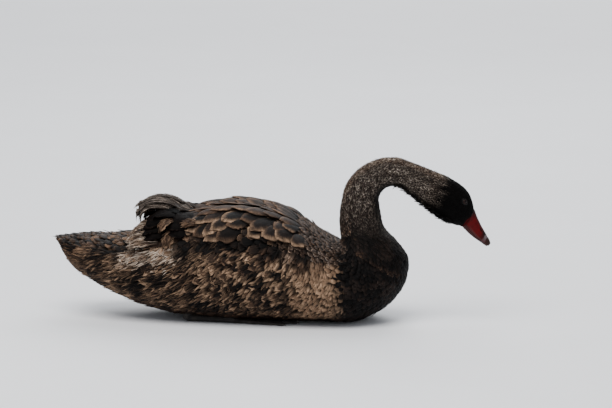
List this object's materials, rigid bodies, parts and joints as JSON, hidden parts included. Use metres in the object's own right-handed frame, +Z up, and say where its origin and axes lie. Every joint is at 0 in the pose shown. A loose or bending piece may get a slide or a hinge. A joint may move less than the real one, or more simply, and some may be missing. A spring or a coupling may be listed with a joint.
{
  "type": "black swan model",
  "caption": "Life-size still model of a black swan at rest on its belly, neck arched forward and bill pointing down, wings folded with raised curled tertial feathers.",
  "frame": {"origin": "on the floor, under the middle of the bird's length and width", "axes": "+X from the tail to the bill, +Y to the bird's left, +Z up"},
  "size_m": [0.8327, 0.2668, 0.3094],
  "materials": {
    "body_feathers": "soft brown body feathers with pale edges, lying in close rows",
    "wing_feathers": "broad dark brown vanes with pale edges, satin",
    "neck_feathers": "short dense blackish brown feathers, near black on the head",
    "bill_horn": "smooth wet-looking red horn with a pale band near the tip",
    "eye": "glossy dark red-brown iris with a black pupil",
    "leg_skin": "matt grey-black scaled skin"
  },
  "bodies": {
    "root": {"torso": "body_feathers", "wing_left": "wing_feathers", "wing_right": "wing_feathers", "tail": "wing_feathers", "neck_lower": "neck_feathers", "neck_middle": "neck_feathers", "neck_upper": "neck_feathers", "head": "neck_feathers", "eye_left": "eye", "eye_right": "eye", "bill_upper": "bill_horn", "bill_lower": "bill_horn", "leg_left": "leg_skin", "leg_right": "leg_skin"}
  },
  "joints": []
}
